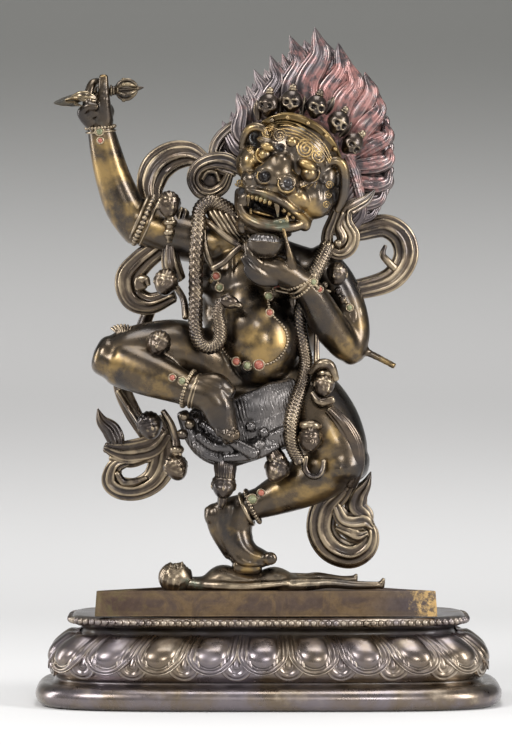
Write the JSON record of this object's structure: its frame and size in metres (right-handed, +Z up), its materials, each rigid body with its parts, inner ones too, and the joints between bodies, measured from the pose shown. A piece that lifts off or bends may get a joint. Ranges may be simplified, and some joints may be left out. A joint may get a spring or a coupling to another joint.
{
  "type": "lion-headed dancing figure statue",
  "caption": "Bronze statue of a lion-headed dancing figure with flame hair and scarves, one foot on a prostrate body, on an oblong lotus pedestal.",
  "frame": {"origin": "centre of the pedestal's flat underside", "axes": "+Z up, front faces -Y, +X to the viewer's right"},
  "size_m": [0.288, 0.154, 0.417],
  "materials": {
    "bronze": "dark patinated bronze with worn gilding",
    "dark_bronze": "dark patinated bronze",
    "coral": "polished coral-red stone",
    "turquoise": "polished green turquoise"
  },
  "bodies": {
    "root": {"lotus_pedestal": "bronze", "triangle_plinth": "bronze", "corpse": "bronze", "figure": "bronze", "chopper": "dark_bronze", "skull_cup": "dark_bronze", "coral_1": "coral", "coral_2": "coral", "coral_3": "coral", "coral_4": "coral", "coral_5": "coral", "coral_6": "coral", "coral_7": "coral", "coral_8": "coral", "coral_9": "coral", "turquoise_1": "turquoise", "turquoise_2": "turquoise", "turquoise_3": "turquoise", "turquoise_4": "turquoise", "turquoise_5": "turquoise", "turquoise_6": "turquoise", "turquoise_7": "turquoise", "turquoise_8": "turquoise"}
  },
  "joints": []
}
